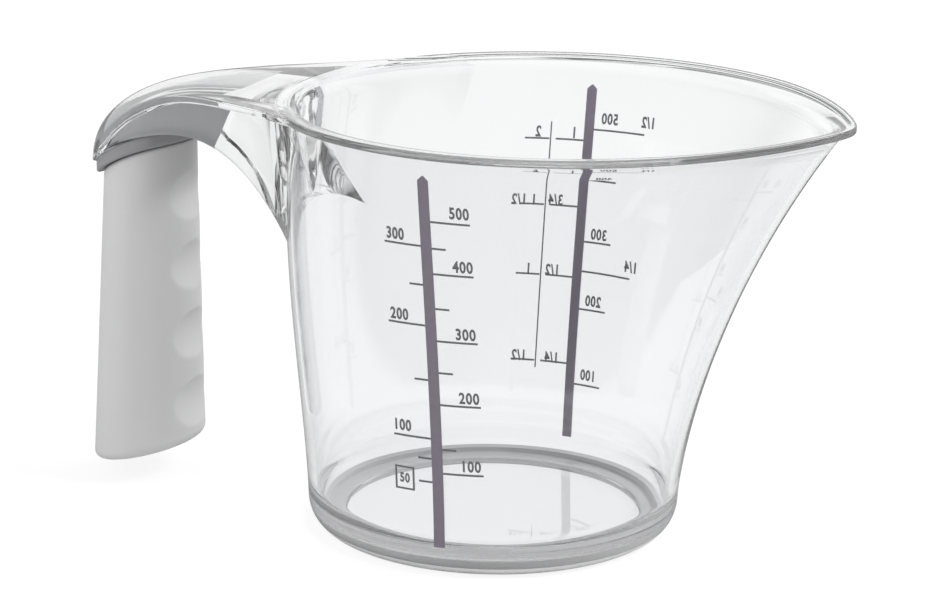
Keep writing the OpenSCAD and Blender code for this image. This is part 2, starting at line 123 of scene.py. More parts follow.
class Jug:
    """The curves that the clear pieces, the grip and the print share."""

    gap = 0.15 * MM

    # base and wall
    corner_h = 6.6 * MM
    corner_in = 4.9 * MM
    tongue_in_back = 4.3 * MM
    tongue_out_back = 2.5 * MM
    floor_under = 1.2 * MM
    floor_round = 7.5 * MM
    flare_power = 1.33
    shift_power = 3.16
    spout_blunt = 4.0
    slope_step = 1 * MM

    # rim
    rim_fillet = 1.2 * MM
    lip_blunt = 0.15
    lip_ahead = 0.3
    face_w = 2.8 * MM
    face_more = 1.6 * MM
    face_drop = 0.6 * MM
    flare_h = 3.2 * MM

    # widths of the arm and the hood
    hood_len = 18.1 * MM
    root_turn = math.radians(127.8)
    root_back = 0.6 * MM
    edge_w_power = 1.66
    side_inset = 2 * MM
    side_more = 0.4 * MM
    side_power = 3
    low_share = 0.826
    low_spread = 8.1 * MM
    low_run = 41 * MM
    low_power = 2.6

    # the arm's underside, which is highest at its peak
    peak_ahead = 9 * MM
    peak_drop = 12.9 * MM
    tip_fall = 9.2 * MM
    tip_run = 25 * MM
    root_fall = 21.6 * MM
    root_short = 2.2 * MM

    # the hood's edge and crown
    edge_lead = 22 * MM
    edge_fall = 22.6 * MM
    edge_fall_power = 2.8
    edge_slope = 0.045
    edge_least = 0.6 * MM
    crown_lead = 16 * MM
    crown_past = 0.5 * MM
    crown_base = 21.5 * MM
    crown_rise = 21 * MM
    crown_more = 0.5 * MM

    # grip
    collar_h = 3.2 * MM
    foot_slope = 0.23
    foot_back = 6.5 * MM

    def __init__(self, bowl, handle):
        self.b, self.h = bowl, handle
        self.top = bowl.height
        self.under = bowl.height - bowl.lip_h
        self.floor_z = self.floor_under + bowl.floor
        self.face_z = self.top - self.face_drop
        self.flare_z = self.face_z - self.flare_h
        self.foot_in = bowl.base_r - self.corner_in - handle.foot_w
        self.tongue_in = bowl.base_r - self.tongue_in_back
        self.tongue_out = bowl.base_r - self.tongue_out_back
        self.hood_x = bowl.rim_r + bowl.lip_end - bowl.rim_shift + handle.arm_len
        reach = self.lip_r(self.root_turn) - self.root_back
        self.root_x = bowl.rim_shift + reach * math.cos(self.root_turn)
        self.root_w = reach * math.sin(self.root_turn)

    # the bowl

    def share(self, z):
        return max(0.0, (z - self.corner_h) / (self.under - self.corner_h))

    def shift(self, z):
        return self.b.rim_shift * self.share(z) ** self.shift_power

    def bell(self, a):
        turn = abs(math.degrees(math.remainder(a, math.tau)))
        blunt = math.hypot(turn, self.spout_blunt) - self.spout_blunt
        return math.exp(-blunt / self.b.spout_spread)

    def wall_r(self, a, z):
        gain = self.b.rim_r - self.b.base_r + self.b.spout_reach * self.bell(a)
        return self.b.base_r + gain * self.share(z) ** self.flare_power

    def polar(self, shift, r, a, z):
        return Vector((shift + r * math.cos(a), r * math.sin(a), z))

    def wall(self, a, z, out=0.0):
        return self.polar(self.shift(z), self.wall_r(a, z) + out, a, z)

    def slope(self, a, z):
        up, down = z + self.slope_step, z - self.slope_step
        gain = self.wall_r(a, up) - self.wall_r(a, down)
        return (gain + (self.shift(up) - self.shift(down)) * math.cos(a)) / (2 * self.slope_step)

    def inner(self, a, z):
        return self.wall(a, z, -self.b.wall * math.hypot(1.0, self.slope(a, z)))

    def corner_r(self, z):
        q = (self.corner_h - z) / self.corner_h
        return self.b.base_r - self.corner_in * (1 - math.sqrt(max(0.0, 1 - q * q)))

    def side(self, a):
        blunt = lambda v: math.hypot(v, self.lip_blunt) - self.lip_blunt
        return blunt(math.sin(a)) / blunt(1.0)

    def lip_r(self, a):
        more = (self.b.lip_side - self.b.lip_end) * self.side(a) * (1 + self.lip_ahead * math.cos(a))
        return self.wall_r(a, self.under) + self.b.lip_end + more

    def lip(self, a, z, back=0.0):
        return self.polar(self.b.rim_shift, self.lip_r(a) - back, a, z)

    def face(self, a):
        return self.lip(a, self.face_z, self.face_w + self.face_more * math.sin(a) ** 2)

    def flare(self, a, t):
        low, high = self.inner(a, self.flare_z), self.face(a)
        flat = low.lerp(high, 1 - math.cos(t))
        return Vector((flat.x, flat.y, low.z + (high.z - low.z) * math.sin(t)))

    def floor_edge(self, a, t):
        start = self.floor_z + self.floor_round
        p = self.inner(a, start)
        back = self.floor_round * (1 - math.cos(t))
        z = start - self.floor_round * math.sin(t)
        return Vector((p.x - back * math.cos(a), p.y - back * math.sin(a), z))

    # the arm and the hood

    def end_share(self, x, half_l):
        q = min(0.0, x + self.hood_x) / half_l
        return math.sqrt(max(0.0, 1 - q * q))

    def root_share(self, x):
        return min(1.0, max(0.0, x + self.hood_x) / (self.root_x + self.hood_x))

    def edge_w(self, x):
        more = (self.root_w - self.h.hood_half_w) * self.root_share(x) ** self.edge_w_power
        return self.h.hood_half_w * self.end_share(x, self.hood_len) + more

    def side_w(self, x):
        share = self.end_share(x, self.hood_len)
        more = self.root_w - self.side_inset - self.low_w(self.root_x)
        flared = self.low_w(x) + self.side_more * share + more * self.root_share(x) ** self.side_power
        return min(flared, self.edge_w(x) - self.side_inset * share)

    def low_w(self, x):
        past = max(0.0, x + self.hood_x) / self.low_run
        half = self.h.hood_half_w * self.low_share * self.end_share(x, self.hood_len)
        return half + self.low_spread * past ** self.low_power

    def low_z(self, x):
        peak = -self.hood_x + self.peak_ahead
        if x < peak:
            fall = self.tip_fall * ((peak - x) / self.tip_run) ** 2
        else:
            fall = self.root_fall * ((x - peak) / (self.h.arm_len - self.root_short)) ** 2
        return self.top - self.peak_drop - fall

    def edge_z(self, x):
        past = max(0.0, -self.hood_x + self.edge_lead - x) / (self.edge_lead + self.hood_len)
        fall = self.edge_fall * past ** self.edge_fall_power
        line = self.top - self.edge_slope * max(0.0, self.root_x - x) - fall
        return max(line, self.low_z(x) + self.edge_least)

    def crown_z(self, x):
        start = -self.hood_x + self.crown_lead
        low = self.top - self.crown_base
        if x < start:
            q = (start - x) / (self.crown_lead + self.hood_len + self.crown_past)
            return low + self.crown_rise * math.sqrt(max(0.0, 1 - q * q))
        end = self.b.rim_shift - self.lip_r(math.pi)
        return low + self.crown_rise + self.crown_more * min(1.0, (x - start) / (end - start))

    def top_z(self, x, y):
        power = 0.5 + 0.5 * min(1.0, (x + self.hood_x + self.hood_len) / self.hood_len)
        round_share = max(0.0, 1 - (y / max(self.edge_w(x), TINY)) ** 2) ** power
        return self.edge_z(x) + (self.crown_z(x) - self.edge_z(x)) * round_share

    # the grip

    def collar_low(self, x):
        return self.low_z(x) - self.gap - self.collar_h

    def grip_low(self, x):
        return self.h.grip_foot_z + self.foot_slope * (x + self.hood_x + self.foot_back)


def jug():
    scene = bpy.context.scene
    return Jug(scene.jug_bowl, scene.jug_handle)


# Mesh helpers

def sheet_of_rings(count, around, place):
    """A tube of `count` rings, spun from a line of points and put where place(ring, angle) says."""
    bm = bmesh.new()
    line = [bm.verts.new((1.0, 0.0, float(k))) for k in range(count)]
    edges = [bm.edges.new(pair) for pair in zip(line, line[1:])]
    bmesh.ops.spin(bm, geom=line + edges, cent=(0, 0, 0), axis=(0, 0, 1), angle=math.tau,
                   steps=around, use_merge=True)
    bmesh.ops.remove_doubles(bm, verts=bm.verts, dist=MERGE)
    for v in bm.verts:
        v.co = place(round(v.co.z), math.atan2(v.co.y, v.co.x) % math.tau)
    return bm


def skin_of_rings(rings, around):
    """A closed skin over a list of rings, each a function from the angle to a point."""
    return close_ends(sheet_of_rings(len(rings), around, lambda k, a: rings[k](a)))


def skin_of_loops(loops):
    """A closed skin over a list of loops of points."""
    around = len(loops[0])
    return close_ends(sheet_of_rings(
        len(loops), around, lambda k, a: Vector(loops[k][round(a / math.tau * around) % around])))


def both_sides(half, place):
    """A loop of half an outline and its mirror image, with each point put where place(y, z) says."""
    return [place(y, z) for y, z in half] + [place(-y, z) for y, z in half[-2:0:-1]]


def close_ends(bm):
    rim = [e for e in bm.edges if e.is_boundary]
    bmesh.ops.holes_fill(bm, edges=rim, sides=0)
    return bm


def put_together(name, bm, sharp=SHARP):
    """Makes an object of the mesh, with outward normals, smooth faces and crisp edges at sharp turns."""
    bmesh.ops.recalc_face_normals(bm, faces=bm.faces)
    mark_sharp(bm, sharp)
    mesh = bpy.data.meshes.new(name)
    bm.to_mesh(mesh)
    bm.free()
    piece = bpy.data.objects.new(name, mesh)
    bpy.context.scene.collection.objects.link(piece)
    return piece


def mark_sharp(bm, sharp):
    for f in bm.faces:
        f.smooth = True
    for e in bm.edges:
        e.smooth = len(e.link_faces) == 2 and e.calc_face_angle(0.0) < sharp


def cut_or_join(piece, tool, operation):
    """Applies an exact boolean with the tool to the piece, and removes the tool."""
    step = piece.modifiers.new(operation.title(), "BOOLEAN")
    step.operation, step.object, step.solver = operation, tool, "EXACT"
    apply_modifiers(piece)
    old = tool.data
    bpy.data.objects.remove(tool)
    bpy.data.meshes.remove(old)


def apply_modifiers(piece):
    graph = bpy.context.evaluated_depsgraph_get()
    done = bpy.data.meshes.new_from_object(piece.evaluated_get(graph))
    piece.modifiers.clear()
    old, piece.data = piece.data, done
    bpy.data.meshes.remove(old)


def shade_again(piece):
    """Clears the slivers that a boolean leaves, and marks the crisp edges again."""
    bm = bmesh.new()
    bm.from_mesh(piece.data)
    bmesh.ops.remove_doubles(bm, verts=bm.verts, dist=2 * TINY)
    bmesh.ops.dissolve_degenerate(bm, edges=bm.edges, dist=TINY)
    mark_sharp(bm, SHARP_AFTER_CUT)
    bm.to_mesh(piece.data)
    bm.free()


def finish(piece, material, slot, *nodes):
    piece.data.materials.clear()
    piece.data.materials.append(material)
    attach(piece, "root")
    if nodes:
        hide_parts(*nodes)


def turns(first, last, steps):
    """Angles in radians from the first to the last, which are given in degrees."""
    return [math.radians(first + (last - first) * i / steps) for i in range(steps + 1)]


# Shader helpers

class Value:
    """A node socket whose arithmetic adds Math nodes."""

    def __init__(self, shader, socket):
        self.shader, self.socket = shader, socket

    def __add__(self, other):
        return self.shader.math("ADD", self, other)

    def __radd__(self, other):
        return self.shader.math("ADD", other, self)

    def __sub__(self, other):
        return self.shader.math("SUBTRACT", self, other)

    def __rsub__(self, other):
        return self.shader.math("SUBTRACT", other, self)

    def __mul__(self, other):
        return self.shader.math("MULTIPLY", self, other)


class Shader:
    """Adds nodes to one material or world."""

    def __init__(self, owner):
        owner.use_nodes = True
        self.owner = owner
        self.tree = owner.node_tree
        self.tree.nodes.clear()

    def add(self, kind, settings=None, inputs=None):
        node = self.tree.nodes.new(kind)
        for key, value in (settings or {}).items():
            setattr(node, key, value)
        for key, value in (inputs or {}).items():
            if isinstance(value, Value):
                self.tree.links.new(value.socket, node.inputs[key])
            elif isinstance(value, bpy.types.NodeSocket):
                self.tree.links.new(value, node.inputs[key])
            else:
                node.inputs[key].default_value = value
        return node

    def value(self, node, output=0):
        return Value(self, node.outputs[output])

    def math(self, operation, *inputs):
        return self.value(self.add("ShaderNodeMath", {"operation": operation}, dict(enumerate(inputs))))

    def along(self, vector, towards):
        node = self.add("ShaderNodeVectorMath", {"operation": "DOT_PRODUCT"}, {0: vector, 1: towards})
        return self.value(node, "Value")

    def sideways(self, vector):
        """How far the vector lies to either side of the camera's view."""
        return self.math("ABSOLUTE", self.along(vector, (math.cos(TURN), math.sin(TURN), 0.0)))

    def ramp(self, value, start, end, low, high):
        return self.value(self.add("ShaderNodeMapRange", {"interpolation_type": "SMOOTHSTEP"}, {
            "Value": value, "From Min": start, "From Max": end, "To Min": low, "To Max": high}))

    def noise(self, scale, detail=2.0, rough=0.5, stretch=(1, 1, 1)):
        where = self.add("ShaderNodeTexCoord")
        place = self.add("ShaderNodeMapping", {}, {"Vector": where.outputs["Object"], "Scale": stretch})
        node = self.add("ShaderNodeTexNoise", {}, {
            "Vector": place.outputs[0], "Scale": scale, "Detail": detail, "Roughness": rough})
        return self.value(node)

    def mix(self, factor, a, b):
        node = self.add("ShaderNodeMix", {"data_type": "RGBA"}, {0: factor, 6: (*a, 1.0), 7: (*b, 1.0)})
        return Value(self, node.outputs[2])

    def bump(self, height, distance, strength=1.0):
        node = self.add("ShaderNodeBump", {}, {
            "Height": height, "Distance": distance, "Strength": strength})
        return Value(self, node.outputs[0])

    def surface(self, **inputs):
        node = self.add("ShaderNodeBsdfPrincipled", {}, {k.replace("_", " "): v for k, v in inputs.items()})
        return node.outputs[0]

    def blend(self, share, first, second):
        """The first shader where the share is 0 and the second where it is 1."""
        return self.add("ShaderNodeMixShader", {}, {0: share, 1: first, 2: second}).outputs[0]

    def light(self, kind, level, strength):
        """An even grey emission or background."""
        return self.add(kind, {}, {"Color": (level, level, level, 1), "Strength": strength}).outputs[0]

    def mirrored(self, path):
        """1 for light that comes straight off a mirroring surface, with no clear plastic after it."""
        return self.value(path, "Is Glossy Ray") * (1 - self.value(path, "Is Transmission Ray"))

    def bounced(self, path):
        """1 for light that was mirrored anywhere on its way."""
        return self.math("MINIMUM", self.value(path, "Glossy Depth"), 1.0)

    def out(self, socket, kind="ShaderNodeOutputMaterial"):
        self.add(kind, {}, {"Surface": socket})
        return self.owner


def tone(base, factor):
    """The colour made brighter or darker by a factor."""
    return tuple(min(1.0, c * factor) for c in base)


MANY_MIRRORS = 3.5


def clear_plastic():
    """Polished clear plastic with a faint flow ripple. Its shadow lets most of the light through."""
    s = Shader(bpy.data.materials.new("clear_plastic"))
    tint = bpy.context.scene.jug_finish.clear
    ripple = s.noise(scale=38.0, detail=1.0, rough=0.4, stretch=(1, 1, 0.5))
    fine = s.noise(scale=900.0)
    path = s.add("ShaderNodeLightPath")
    shadow = s.value(path, "Is Shadow Ray")
    spent = s.math("GREATER_THAN", s.value(path, "Glossy Depth"), MANY_MIRRORS)
    return s.out(s.surface(
        Base_Color=s.mix(ripple, tint, tone(tint, 0.985)),
        Roughness=0.004 + fine * 0.012,
        Transmission_Weight=1.0, IOR=1.53,
        Alpha=1 - s.math("MAXIMUM", spent * 0.7, shadow * 0.88),
        Normal=s.bump(ripple, distance=0.05 * MM)))


def soft_grip():
    """Soft moulded grip with a fine even stipple."""
    s = Shader(bpy.data.materials.new("soft_grip"))
    base = bpy.context.scene.jug_finish.grip
    stipple = s.noise(scale=2600.0, detail=3.0, rough=0.6)
    cloud = s.noise(scale=60.0)
    return s.out(s.surface(
        Base_Color=s.mix(cloud, tone(base, 0.97), tone(base, 1.03)),
        Roughness=0.52 + stipple * 0.12,
        Specular_IOR_Level=0.35,
        Sheen_Weight=0.08, Sheen_Roughness=0.5,
        Normal=s.bump(stipple, distance=0.06 * MM, strength=0.5)))


def core_plastic(name, base):
    """Stiff satin plastic of the grip's core."""
    s = Shader(bpy.data.materials.new(name))
    fine = s.noise(scale=1800.0)
    cloud = s.noise(scale=45.0)
    return s.out(s.surface(
        Base_Color=s.mix(cloud, tone(base, 0.96), tone(base, 1.05)),
        Roughness=0.34 + fine * 0.1,
        Normal=s.bump(fine, distance=0.02 * MM, strength=0.4)))


def foot_rubber():
    """Soft ring under the base."""
    s = Shader(bpy.data.materials.new("foot_rubber"))
    base = bpy.context.scene.jug_finish.foot
    fine = s.noise(scale=2200.0)
    cloud = s.noise(scale=70.0)
    return s.out(s.surface(
        Base_Color=s.mix(cloud, tone(base, 0.95), tone(base, 1.05)),
        Roughness=0.45 + fine * 0.15,
        Normal=s.bump(fine, distance=0.03 * MM, strength=0.5)))


def ink(name, base):
    """Flat printing ink with a slightly uneven film."""
    s = Shader(bpy.data.materials.new(name))
    film = s.noise(scale=700.0, detail=3.0)
    return s.out(s.surface(
        Base_Color=s.mix(film, tone(base, 0.92), tone(base, 1.1)),
        Roughness=0.4 + film * 0.15,
        Normal=s.bump(film, distance=0.01 * MM, strength=0.4)))


# Clear bowl and arm

BOND = 0.03 * MM
BOSS_EDGE = 0.3 * MM
LIP_LOW_EDGE = 0.5 * MM
LIP_TOP_EDGE = 0.35 * MM
CORNER_STEPS = 14
WALL_STEPS = 44
BOWL_AROUND = 224


def base_rings(j):
    """Rings from the middle of the underside, over the ring's groove, to the top of the base corner."""
    boss, rebate, groove = j.foot_in + BOND, j.h.foot_h - BOND, j.h.tongue_h - BOND
    profile = [(boss * q, j.floor_under) for q in (0.25, 0.6, 0.9)]
    profile += [(boss - BOSS_EDGE, j.floor_under), (boss, j.floor_under + BOSS_EDGE), (boss, rebate)]
    profile += [(j.tongue_in + BOND, rebate), (j.tongue_in + BOND, groove)]
    profile += [(j.tongue_out - BOND, groove), (j.tongue_out - BOND, rebate)]
    for i in range(CORNER_STEPS + 1):
        z = rebate + (j.corner_h - rebate) * i / CORNER_STEPS
        profile.append((j.corner_r(z), z))
    return [lambda a, r=r, z=z: j.polar(0.0, r, a, z) for r, z in profile]


def rim_rings(j):
    """Rings from the fillet under the rim, over its outer face and top, to the foot of the flare inside."""
    rings = []
    for t in turns(15, 90, 5):
        z, out = j.under - j.rim_fillet * (1 - math.sin(t)), j.rim_fillet * (1 - math.cos(t))
        rings.append(lambda a, z=z, out=out: j.wall(a, z, out))
    for t in turns(0, 90, 5):
        z, back = j.under + LIP_LOW_EDGE * (1 - math.cos(t)), LIP_LOW_EDGE * (1 - math.sin(t))
        rings.append(lambda a, z=z, back=back: j.lip(a, z, back))
    for t in turns(0, 90, 4):
        z, back = j.top - LIP_TOP_EDGE * (1 - math.sin(t)), LIP_TOP_EDGE * (1 - math.cos(t))
        rings.append(lambda a, z=z, back=back: j.lip(a, z, back))
    for q in (0.35, 0.7):
        rings.append(lambda a, q=q: j.lip(a, j.top, LIP_TOP_EDGE).lerp(j.face(a), q))
    rings.append(j.face)
    for t in turns(80, 0, 10):
        rings.append(lambda a, t=t: j.flare(a, t))
    return rings


def wall_rings(place, start, end):
    """Rings of a wall between two heights, without the first, each put by place(angle, height)."""
    heights = [start + (end - start) * i / WALL_STEPS for i in range(1, WALL_STEPS + 1)]
    return [lambda a, z=z: place(a, z) for z in heights]


def floor_rings(j):
    """Rings from the rounding between wall and floor to the middle of the floor."""
    rings = [lambda a, t=t: j.floor_edge(a, t) for t in turns(6, 90, 14)]
    flat_r = abs(j.floor_edge(math.pi, math.pi / 2).x)
    return rings + [lambda a, q=q: j.polar(0.0, flat_r * q, a, j.floor_z) for q in (0.8, 0.4)]


def bowl_rings(j):
    """All rings, from the middle of the underside up the outside, over the rim and down to the floor."""
    outside = wall_rings(j.wall, j.corner_h, j.under - j.rim_fillet)
    inside = wall_rings(j.inner, j.flare_z, j.floor_z + j.floor_round)
    return base_rings(j) + outside + rim_rings(j) + inside + floor_rings(j)


ARM_FULL_W = 6 * MM
ARM_CORNER = 1.4 * MM
ARM_FILLET = 1.0 * MM
ARM_EDGE = 0.55 * MM
ARM_PAST_ROOT = 5 * MM
HOOD_STEPS = 26
ARM_STEPS = 46


def arm_half(j, x):
    """Half of the arm's outline at x, from the middle of its underside to the middle of its crown."""
    w, ws, wl = j.edge_w(x), j.side_w(x), j.low_w(x)
    ze, zl = j.edge_z(x), j.low_z(x)
    plate = ze - min(j.b.lip_h, (ze - zl) / 2)
    size = min(1.0, w / ARM_FULL_W)
    room = (plate - zl) * 0.35 + TINY
    corner = min(ARM_CORNER * size, room)
    fillet = min(ARM_FILLET * size, room, (w - ws) * 0.6)
    edge = min(ARM_EDGE * size, (ze - plate) * 0.45)
    along = lambda p, q, s: (p[0] + (q[0] - p[0]) * s, p[1] + (q[1] - p[1]) * s)
    side = Vector((ws - wl, plate - zl))
    side = side.normalized() if side.length > 1e-7 else Vector((0, 1))
    pts = [(wl * q, zl) for q in (0.0, 0.35, 0.7)]
    pts += [(wl - corner + corner * math.sin(t), zl + corner * (1 - math.cos(t))) for t in turns(0, 80, 5)]
    start, end = pts[-1], (ws - side.x * fillet, plate - side.y * fillet)
    pts += [along(start, end, q) for q in (0.2, 0.4, 0.6, 0.8, 1.0)]
    corner_pt, out = (ws, plate), (ws + fillet, plate)
    for s in (0.33, 0.67):
        pts.append(along(along(end, corner_pt, s), along(corner_pt, out, s), s))
    pts += [out, along(out, (w - edge, plate), 0.6)]
    pts += [(w - edge + edge * math.sin(t), plate + edge * (1 - math.cos(t))) for t in turns(0, 90, 4)]
    top = 0.8 * edge
    for t in turns(0, 70, 4):
        y = w - top * (1 - math.cos(t))
        pts.append((y, j.top_z(x, y) - top * (1 - math.sin(t))))
    y0 = pts[-1][0]
    pts += [(y0 * math.cos(t), j.top_z(x, y0 * math.cos(t))) for t in turns(6, 90, 14)]
    return pts


def arm_mesh(j):
    """The arm and the hood, from the hood's tip to a little past the bowl's wall."""
    xs = [-j.hood_x - j.hood_len * math.cos(t) for t in turns(3, 90, HOOD_STEPS)]
    last = j.root_x + ARM_PAST_ROOT
    xs += [-j.hood_x + (last + j.hood_x) * i / ARM_STEPS for i in range(1, ARM_STEPS + 1)]
    return skin_of_loops([both_sides(arm_half(j, x), lambda y, z: (x, y, z)) for x in xs])


HEAD_SHORT = 2.5 * MM
HEAD_SIDE_GAP = 3.8 * MM
HEAD_ROOF = 2.2 * MM
HEAD_BACK = 18 * MM
HEAD_ROUND = 1.6 * MM
HEAD_SLANT = 8 * MM
HEAD_TIP_STEPS = 20
HEAD_BACK_STEPS = 12
HEAD_SLANT_STEPS = 4


def head_mesh(j, grow, drop=0.0):
    """The core's head in the hood, grown all round by `grow` and let down by `drop`."""
    half_l = j.hood_len - HEAD_SHORT
    half_w = j.h.hood_half_w * j.low_share - HEAD_SIDE_GAP
    xs = [-j.hood_x - (half_l + grow) * math.cos(t) for t in turns(8, 90, HEAD_TIP_STEPS)]
    back = -j.hood_x + HEAD_BACK + grow
    xs += [-j.hood_x + (back + j.hood_x) * i / HEAD_BACK_STEPS for i in range(1, HEAD_BACK_STEPS + 1)]
    slant_from = len(xs) - 1 - HEAD_SLANT_STEPS
    loops = []
    for k, x in enumerate(xs):
        w = half_w * j.end_share(x, half_l + grow) + grow
        slant = HEAD_SLANT * max(0.0, (k - slant_from) / HEAD_SLANT_STEPS) ** 2
        low = j.low_z(x) - drop
        round_r = min(HEAD_ROUND, w * 0.4)
        roof = lambda y: j.top_z(x, y) - HEAD_ROOF + grow
        side_top = roof(w) - round_r
        half = [(0.0, low), (w * 0.6, low), (w, low)]
        half += [(w, low + (side_top - low) * q) for q in (0.3, 0.6, 0.85)]
        for t in turns(0, 90, 6):
            y = w - round_r * (1 - math.cos(t))
            half.append((y, roof(y) - round_r * (1 - math.sin(t))))
        y0 = half[-1][0]
        half += [(y0 * math.cos(t), roof(y0 * math.cos(t))) for t in turns(10, 90, 8)]
        tall = j.crown_z(x) - j.low_z(x)
        loops.append(both_sides(half, lambda y, z: (x + slant * (z - j.low_z(x)) / tall, y, z)))
    return skin_of_loops(loops)


END_STEPS = 24
END_AROUND = 192
INTO_WALL = 1.0 * MM
LIP_UP, LIP_IN = 0.3 * MM, 0.9 * MM
TOP_UP, TOP_IN = 4 * MM, 0.5 * MM


def inside_of_wall(j):
    """A solid whose skin runs inside the bowl's wall and rim, so that the arm can end there."""
    rise = j.under - j.rim_fillet - j.corner_h
    heights = [j.corner_h + rise * i / END_STEPS for i in range(END_STEPS + 1)]
    rings = [lambda a, z=z: j.wall(a, z, -INTO_WALL) for z in heights]
    rings.append(lambda a: j.lip(a, j.under + LIP_UP, LIP_IN))
    rings.append(lambda a: j.lip(a, j.top + TOP_UP, TOP_IN))
    return skin_of_rings(rings, END_AROUND)


POCKET_DROP = 3 * MM


class JUG_OT_clear_body(bpy.types.Operator):
    """Build the clear bowl with its spout and rim, and the arm and hood that grow out of it"""
    bl_idname = "jug.clear_body"
    bl_label = "Clear bowl and arm"

    def execute(self, context):
        j = jug()
        body = put_together("clear_body", skin_of_rings(bowl_rings(j), BOWL_AROUND))
        arm = put_together("arm", arm_mesh(j))
        cut_or_join(arm, put_together("arm_end", inside_of_wall(j)), "DIFFERENCE")
        cut_or_join(arm, put_together("pocket", head_mesh(j, j.gap, POCKET_DROP)), "DIFFERENCE")
        cut_or_join(body, arm, "UNION")
        shade_again(body)
        finish(body, clear_plastic(), "clear_plastic", "jug_body", "handle_bracket")
        return {"FINISHED"}


# Grip

COLLAR_BACK = 5.65 * MM
COLLAR_HALF_L = 11.65 * MM
COLLAR_HALF_W = 13.4 * MM
COLLAR_EDGE = 0.8 * MM
COLLAR_AROUND = 96
NECK_IN = 3 * MM
NECK_AROUND = 64
TANG_BACK = 5.5 * MM
TANG_R = 5 * MM
TANG_STEP = 3 * MM
TANG_FROM_FOOT = 8 * MM
TANG_RINGS = 4
TANG_AROUND = 48
INTO_COLLAR = 1.6 * MM


def oval(cx, half_l, half_w, a):
    return cx + half_l * math.cos(a), half_w * math.sin(a)


def collar_mesh(j):
    """The collar that closes the hood's underside, with rounded edges."""
    edge, tall = COLLAR_EDGE, j.collar_h
    profile = [(q, 0.0, 0.0) for q in (0.2, 0.6)]
    profile += [(1.0, edge * (1 - math.sin(t)), edge * (1 - math.cos(t))) for t in turns(0, 90, 5)]
    profile += [(1.0, edge * (1 - math.cos(t)), tall - edge * (1 - math.sin(t))) for t in turns(0, 90, 5)]
    profile += [(q, edge, tall) for q in (0.6, 0.2)]

    def place(k, a):
        q, back, up = profile[k]
        middle = -j.hood_x - COLLAR_BACK
        x, y = oval(middle, (COLLAR_HALF_L - back) * q, (COLLAR_HALF_W - back) * q, a)
        return Vector((x, y, j.collar_low(x) + up))

    return close_ends(sheet_of_rings(len(profile), COLLAR_AROUND, place))


def neck_mesh(j):
    """The short neck that joins the collar to the head."""
    def place(k, a):
        x, y = oval(-j.hood_x - COLLAR_BACK, COLLAR_HALF_L - NECK_IN, COLLAR_HALF_W - NECK_IN, a)
        return Vector((x, y, j.collar_low(x) + INTO_COLLAR + NECK_IN * k))

    return close_ends(sheet_of_rings(2, NECK_AROUND, place))


def tang_mesh(j):
    """The flat-sided tang inside the soft grip."""
    middle = -j.hood_x - TANG_BACK
    low, high = j.h.grip_foot_z + TANG_FROM_FOOT, j.collar_low(middle) + INTO_COLLAR

    def place(k, a):
        y = TANG_R * math.sin(a) + math.copysign(TANG_STEP, math.sin(a))
        return Vector((middle + TANG_R * math.cos(a), y, low + (high - low) * k / (TANG_RINGS - 1)))

    return close_ends(sheet_of_rings(TANG_RINGS, TANG_AROUND, place))


class JUG_OT_grip_core(bpy.types.Operator):
    """Build the stiff core: its head in the hood, the collar under it and the tang in the grip"""
    bl_idname = "jug.grip_core"
    bl_label = "Grip core"

    def execute(self, context):
        j = jug()
        bm = head_mesh(j, 0.0)
        head_faces = len(bm.faces)
        for other in (collar_mesh(j), neck_mesh(j), tang_mesh(j)):
            add_mesh(bm, other)
        piece = put_together("grip_core_piece", bm)
        finishes = context.scene.jug_finish
        finish(piece, core_plastic("core_plastic", finishes.core), "core_plastic", "grip_core")
        # Second slot: the head gets the lighter grey, painted light where the core sits inside the clear
        # hood.
        piece.data.materials.append(core_plastic("core_head_painted_light", finishes.head))
        for face in piece.data.polygons[:head_faces]:
            face.material_index = 1
        return {"FINISHED"}


def add_mesh(bm, other):
    """Adds the other bmesh to the first, and frees it."""
    mesh = bpy.data.meshes.new("part")
    other.to_mesh(mesh)
    other.free()
    bm.from_mesh(mesh)
    bpy.data.meshes.remove(mesh)


TOP_BACK = 5 * MM
FOOT_HALF_L = 12.9 * MM
TOP_HALF_L = 10.5 * MM
FOOT_HALF_W = 14.9 * MM
TOP_HALF_W = 12.2 * MM
FOOT_ROUND = 2.5 * MM
TOP_ROUND = 1.0 * MM
FINGER_HALF = 5.8 * MM
FINGER_FIRST = 29.6 * MM
FINGER_PITCH = 16.8 * MM
FINGER_SOFT = 0.35 * MM
FINGER_REACH = 2 * MM
FINGER_FRONT = 0.4
SLEEVE_STEPS = 200
SLEEVE_AROUND = 144


